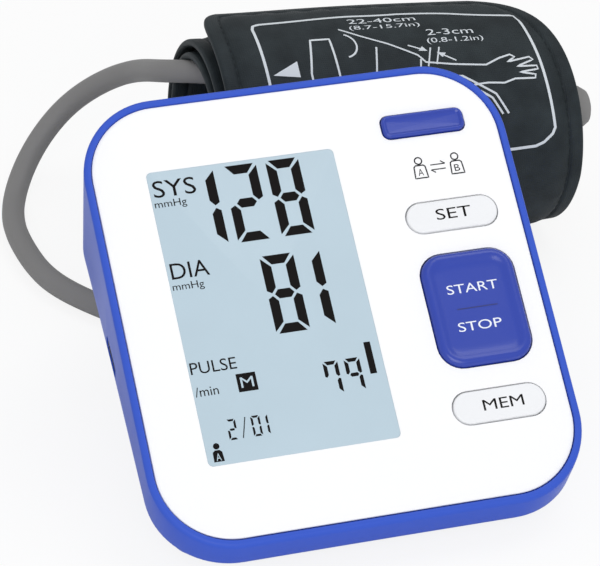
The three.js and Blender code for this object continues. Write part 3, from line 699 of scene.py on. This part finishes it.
for name, (x, y, wide, long, corner) in {"display": (*DISPLAY, 1.6), **KEYS}.items():
    play = 0 if name == "display" else 0.9
    ring = rounded_ring(wide + play, long + play, corner + play / 2, 8, 2) + [x, y]
    cutters.append(new_piece("cutter", *prism_of(ring, -4, 3, on_face), white_gloss))
carved(plate, *cutters)
crisp(plate, 25)
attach(plate, "monitor")
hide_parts("front_cover")

# ---- Display -----------------------------------------------------------------------------------
# A pale grey-blue liquid crystal display under a clear pane that is level with the plate. It shows
# two pressures, a pulse, a memory mark, a date and the person whose readings these are.
pane_material = moulded("display_pane", linear(188, 207, 218), 0.2, 0.002, 0.01, 0.05,
                        **{"Specular IOR Level": 0.2})
x, y, wide, long = DISPLAY
pane_rings = []
for inset, height in ((0.1, -1.5), (0.02, -0.3), (0.04, -0.1), (0.2, -0.06)):
    ring = rounded_ring(wide - 2 * inset, long - 2 * inset, 1.6, 8, 2) + [x, y]
    pane_rings.append(on_face(ring[:, 0], ring[:, 1], height))
pane = new_piece("display_pane", *filled(np.stack(pane_rings), on_face(x, y, -1.5),
                                         on_face(x, y, -0.06)), pane_material)
crisp(pane, 30)
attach(pane, "monitor")
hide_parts("display_window")

SEGMENTS = {"0": "abcdef", "1": "bc", "2": "abged", "7": "abcf", "8": "abcdefg", "9": "abcfg"}


def figure(digit, left, low, right, high, thick, gap):
    """A seven-bar figure in a box: three level bars and four upright ones, cut to points where they
    meet, with a gap between them."""
    wide, tall = right - left, high - low
    level = np.array([[gap * 1.2, tall], [wide - gap * 1.2, tall],
                      [wide - thick - gap * 0.4, tall - thick], [thick + gap * 0.4, tall - thick]])
    upright = np.array([[0, tall - gap], [thick, tall - thick - gap], [thick, tall / 2 + 0.5 * thick + gap],
                        [thick / 2, tall / 2 + gap * 0.6], [0, tall / 2 + 0.45 * thick]])
    middle_bar = np.array([[thick * 0.5 + gap, tall / 2], [thick + gap * 0.6, tall / 2 + thick / 2],
                           [wide - thick - gap * 0.6, tall / 2 + thick / 2],
                           [wide - thick * 0.5 - gap, tall / 2],
                           [wide - thick - gap * 0.6, tall / 2 - thick / 2],
                           [thick + gap * 0.6, tall / 2 - thick / 2]])
    across, over = np.array([wide, 0]), np.array([0, tall])
    bars = {"a": level, "d": over + level * [1, -1], "g": middle_bar, "f": upright,
            "b": across + upright * [-1, 1], "e": over + upright * [1, -1],
            "c": across + over + upright * [-1, -1]}
    return [patch(bars[letter] + [left, low]) for letter in SEGMENTS[digit]]


def person(x, y, size):
    """A person as a plain mark: a round head over a body with sloping shoulders, as outlines."""
    head = arc(x, y + 3.0 * size, 0.95 * size, 0, 345)
    shoulders = np.array([[-1.0, 1.7], [-1.5, 1.3], [-1.75, -1.9], [1.75, -1.9], [1.5, 1.3], [1.0, 1.7]])
    return head, shoulders * size + [x, y]


ink = moulded("display_ink", linear(26, 24, 24), 0.7, 0.002, 0.01, **{"Specular IOR Level": 0.05})
display_ink = (figure("1", -36.9, 21.0, -26.7, 45.6, 2.9, 0.7)
               + figure("2", -23.9, 21.0, -13.5, 45.6, 2.9, 0.7)
               + figure("8", -10.6, 21.0, -0.5, 45.6, 2.9, 0.7)
               + figure("8", -18.8, -8.9, -8.6, 15.7, 2.9, 0.7)
               + figure("1", -10.9, -8.9, -0.7, 15.7, 2.9, 0.7)
               + figure("7", -7.5, -29.8, -3.0, -19.5, 1.15, 0.4)
               + figure("9", -1.1, -29.8, 3.6, -19.5, 1.15, 0.4)
               + figure("2", -39.1, -38.7, -36.4, -32.4, 0.65, 0.25)
               + figure("0", -31.9, -38.7, -29.2, -32.4, 0.65, 0.25)
               + figure("1", -29.6, -38.7, -26.9, -32.4, 0.65, 0.25))
display_ink += [
    patch([[5.9, -25.2], [7.9, -25.2], [7.9, -15.3], [5.9, -15.3]]),
    ribbon([[-35.1, -38.6], [-33.4, -32.4]], 0.3),
    words("SYS", -45.6, 38.5, -32.8, 43.9), words("mmHg", -46, 34.6, -36.4, 37.6),
    words("DIA", -45.6, 12.4, -34.2, 17.4), words("mmHg", -46, 8.2, -36.6, 11.2),
    words("PULSE", -46.1, -17.5, -32.4, -13.8), words("/min", -46.1, -24.4, -39.2, -21.5),
    patch(arc(-43.4, -39.8, 0.95, 0, 345)),
    patch([[-44.9, -44.5], [-41.8, -44.5], [-42.0, -41.6], [-42.7, -41.0], [-44.1, -41.0],
           [-44.8, -41.6]]),
    patch([[-33.4, -24.8], [-27.6, -24.8], [-27.6, -19.2], [-33.4, -19.2]]),
]
lay("display_figures", display_ink, lambda u, w: on_face(u, w, -0.04), ink, "monitor")
pale_figures = [words("M", -32.4, -23.6, -28.6, -20.4), words("A", -44.1, -44.2, -42.6, -42.0)]
lay("display_pale_figures", pale_figures, lambda u, w: on_face(u, w, -0.01), pane_material, "monitor")

# ---- Marks on the plate --------------------------------------------------------------------------
# Thin grey print beside the keys: two people, A and B, and a pair of arrows between them.
grey_ink = moulded("plate_ink", linear(52, 52, 54), 0.7, 0.002, 0.01, **{"Specular IOR Level": 0.05})
marks = []
for x, letter in ((35.5, "A"), (46.9, "B")):
    head, body = person(x, 35.6, 1.15)
    marks += [ribbon(head, 0.42, True, 0.4), ribbon(body, 0.42, True, 0.6),
              words(letter, x - 0.85, 34.2, x + 0.85, 36.4)]
marks += [ribbon([[38.9, 37.2], [43.4, 37.2]], 0.36), ribbon([[42.2, 38.2], [43.5, 37.2]], 0.36),
          ribbon([[38.9, 35.6], [43.4, 35.6]], 0.36), ribbon([[40.1, 34.6], [38.8, 35.6]], 0.36)]
lay("plate_marks", marks, lambda u, w: on_face(u, w, plate_height(u, w) + 0.03), grey_ink, "monitor")

# ---- Keys ----------------------------------------------------------------------------------------
# Four moulded key caps with rounded rims. The blue ones have a raised rim and a sunk face, and the
# white ones are plain pills; each carries its printed word and springs back when pressed.
pale_plastic = moulded("pale_key", linear(240, 241, 243), 0.4, 0.0006, 0.02)
key_blue = moulded("key_blue", linear(47, 69, 170), 0.24, 0.0005, 0.02, 0.04,
                   **{"Specular IOR Level": 0.42})
CAPS = {
    "user_switch": (key_blue, "blue_key", [(0, -2.4), (0, 0.5), (0.15, 0.9), (0.5, 1.1), (0.9, 1.05),
                                           (1.2, 0.7), (1.6, 0.62)]),
    "start_stop": (key_blue, "blue_key", [(0, -2.4), (0, 0), (0.2, 0.6), (0.7, 1.1), (1.5, 1.38), (2.3, 1.36),
                                          (3.1, 1.05), (3.9, 0.78), (4.8, 0.69), (6.2, 0.66)]),
    "set": (pale_plastic, "pale_key", [(0, -2.4), (0, 0.1), (0.12, 0.36), (0.4, 0.48), (0.8, 0.5)]),
    "memory": (pale_plastic, "pale_key", [(0, -2.4), (0, 0.1), (0.12, 0.36), (0.4, 0.48), (0.8, 0.5)]),
}
KEY_BODIES = {"user_switch": "user_switch", "set": "set_key", "start_stop": "start_stop_key",
              "memory": "memory_key"}
for name, (x, y, wide, long, corner) in KEYS.items():
    finish, slot, profile = CAPS[name]
    rings = []
    for inset, height in [(-1.2, -3.1), (-1.2, -2.4)] + profile:
        ring = rounded_ring(wide - 2 * inset, long - 2 * inset, max(0.3, corner - inset), 10, 3) + [x, y]
        rings.append(on_face(ring[:, 0], ring[:, 1], height))
    cap = new_piece(f"{name}_cap", *filled(np.stack(rings), on_face(x, y, -3.1),
                                           on_face(x, y, profile[-1][1])), finish)
    crisp(cap, 50)
    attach(cap, KEY_BODIES[name])
    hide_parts(f"{name}_button")
white_ink = moulded("white_key_ink", linear(236, 240, 250), 0.5, 0.002, 0.01)
lay("start_stop_words", [words("START", 34.2, -4.9, 49.9, -2.0), words("STOP", 34.9, -16.9, 48.3, -14.0)],
    lambda u, w: on_face(u, w, 0.69 + 0 * u), white_ink, "start_stop_key")
# Painted shade: a flat dark blue line across the START/STOP key between its two words. It stands for the
# shade inside the engraved groove that divides them.
groove_shade_blue = moulded("key_groove_painted_shade", linear(34, 46, 120), 0.4, 0.0005, 0.03)
lay("start_stop_groove_painted_shade", [ribbon([[35.9, -9.8], [48.4, -9.8]], 0.4)], lambda u, w: on_face(u, w, 0.7),
    groove_shade_blue, "start_stop_key")
lay("set_words", [words("SET", 36.7, 19.1, 47.6, 22.6)], lambda u, w: on_face(u, w, 0.52), ink, "set_key")
lay("memory_words", [words("MEM", 36.5, -41.8, 48.9, -38.5)], lambda u, w: on_face(u, w, 0.52), ink,
    "memory_key")

# ---- Pieces inside and under the monitor -----------------------------------------------------------
# The base, its battery door, cells, feet and screws, the circuit board with what is soldered to it,
# the pump, valve, manifold and air lines, and the cuff's port, plug, bladder and fastening pads.
board_green = moulded("board_green", linear(30, 92, 58), 0.4, 0.0008, 0.05)
black_plastic = moulded("black_plastic", linear(28, 28, 30), 0.45, 0.0005, 0.05)
plated_steel = moulded("plated_steel", linear(190, 193, 196), 0.3, 0.0004, 0.05, 0.08, **{"Metallic": 1})
turned_brass = moulded("turned_brass", linear(201, 166, 83), 0.32, 0.0004, 0.05, 0.08, **{"Metallic": 1})
white_rubber = moulded("white_rubber", linear(217, 217, 214), 0.6, 0.0005, 0.05)
dark_rubber = moulded("dark_rubber", linear(43, 43, 44), 0.75, 0.0004, 0.1)
cell_wrap = moulded("cell_wrap", linear(61, 74, 82), 0.3, 0.0008, 0.02, 0.05, **{"Metallic": 0.4})
bladder_film = moulded("bladder_film", linear(141, 143, 144), 0.5, 0.0008, 0.1)
hook_cloth = moulded("hook_cloth", linear(36, 39, 41), 0.9, 0.0006, 0.6)
SLOT_FINISH = {"blue_shell": blue_gloss, "board": board_green, "black_plastic": black_plastic,
               "steel": plated_steel, "brass": turned_brass, "white_rubber": white_rubber,
               "dark_rubber": dark_rubber, "grey_hose": grey_rubber, "battery_wrap": cell_wrap,
               "bladder_film": bladder_film, "hook_cloth": hook_cloth, "display": pane_material}
REPLACED = {"air_hose", "cuff_outer_cloth", "cuff_lining", "side_frame", "front_cover",
            "display_window"} | {f"{name}_button" for name in KEYS}
for part in frame["record"]["subparts"]:
    node = frame["nodes"][part["node"]]
    if part["node"] in REPLACED:
        continue
    node.data.materials.clear()
    node.data.materials.append(SLOT_FINISH[part["material_slot"]])
    node.data.shade_smooth()
    weld = node.modifiers.new("weld", "WELD")
    weld.merge_threshold = 0.00001
    split = node.modifiers.new("split", "EDGE_SPLIT")
    split.split_angle = math.radians(28)

# ---- Table and light ---------------------------------------------------------------------------------
# A plain white table that keeps a soft shadow, a large soft lamp overhead to the right, and an even
# pale room.
table_material, nodes, links, shader = finish_node("table", {"Roughness": 0.9, "Specular IOR Level": 0.1})
shader.inputs["Base Color"].default_value = (0.93, 0.93, 0.93, 1)
rays = nodes.new("ShaderNodeLightPath")
glow = nodes.new("ShaderNodeEmission")
glow.inputs["Strength"].default_value = 1.0
share = nodes.new("ShaderNodeMath")
share.operation = "MULTIPLY"
share.inputs[1].default_value = 0.86
mix = nodes.new("ShaderNodeMixShader")
links.new(rays.outputs["Is Camera Ray"], share.inputs[0])
links.new(share.outputs["Value"], mix.inputs["Fac"])
links.new(shader.outputs["BSDF"], mix.inputs[1])
links.new(glow.outputs["Emission"], mix.inputs[2])
links.new(mix.outputs["Shader"], nodes["Material Output"].inputs["Surface"])
side = 3.0
table = new_piece("table", [[-side, -side, -0.0002], [side, -side, -0.0002], [side, side, -0.0002],
                            [-side, side, -0.0002]], [[0, 1, 2, 3]], table_material, smooth=False)
world = bpy.data.worlds.new("room")
bpy.context.scene.world = world
world.use_nodes = True
world.node_tree.nodes["Background"].inputs["Color"].default_value = (0.97, 0.98, 1, 1)
world.node_tree.nodes["Background"].inputs["Strength"].default_value = 0.62


def lamp(name, place, aim, size, power):
    """A square soft lamp at a place, turned towards a point."""
    light = bpy.data.lights.new(name, "AREA")
    light.size = size
    light.energy = power
    holder = bpy.data.objects.new(name, light)
    bpy.context.scene.collection.objects.link(holder)
    aimed = (Vector(aim) - Vector(place)).to_track_quat("-Z", "Y")
    holder.matrix_world = Matrix.Translation(place) @ aimed.to_matrix().to_4x4()


lamp("overhead_lamp", (0.5, 0.1, 1.4), (0, 0, 0.03), 0.8, 4)
lamp("front_lamp", (-0.3, -1.3, 0.9), (0, 0, 0.03), 0.9, 9)
bpy.context.scene.view_settings.view_transform = "Standard"
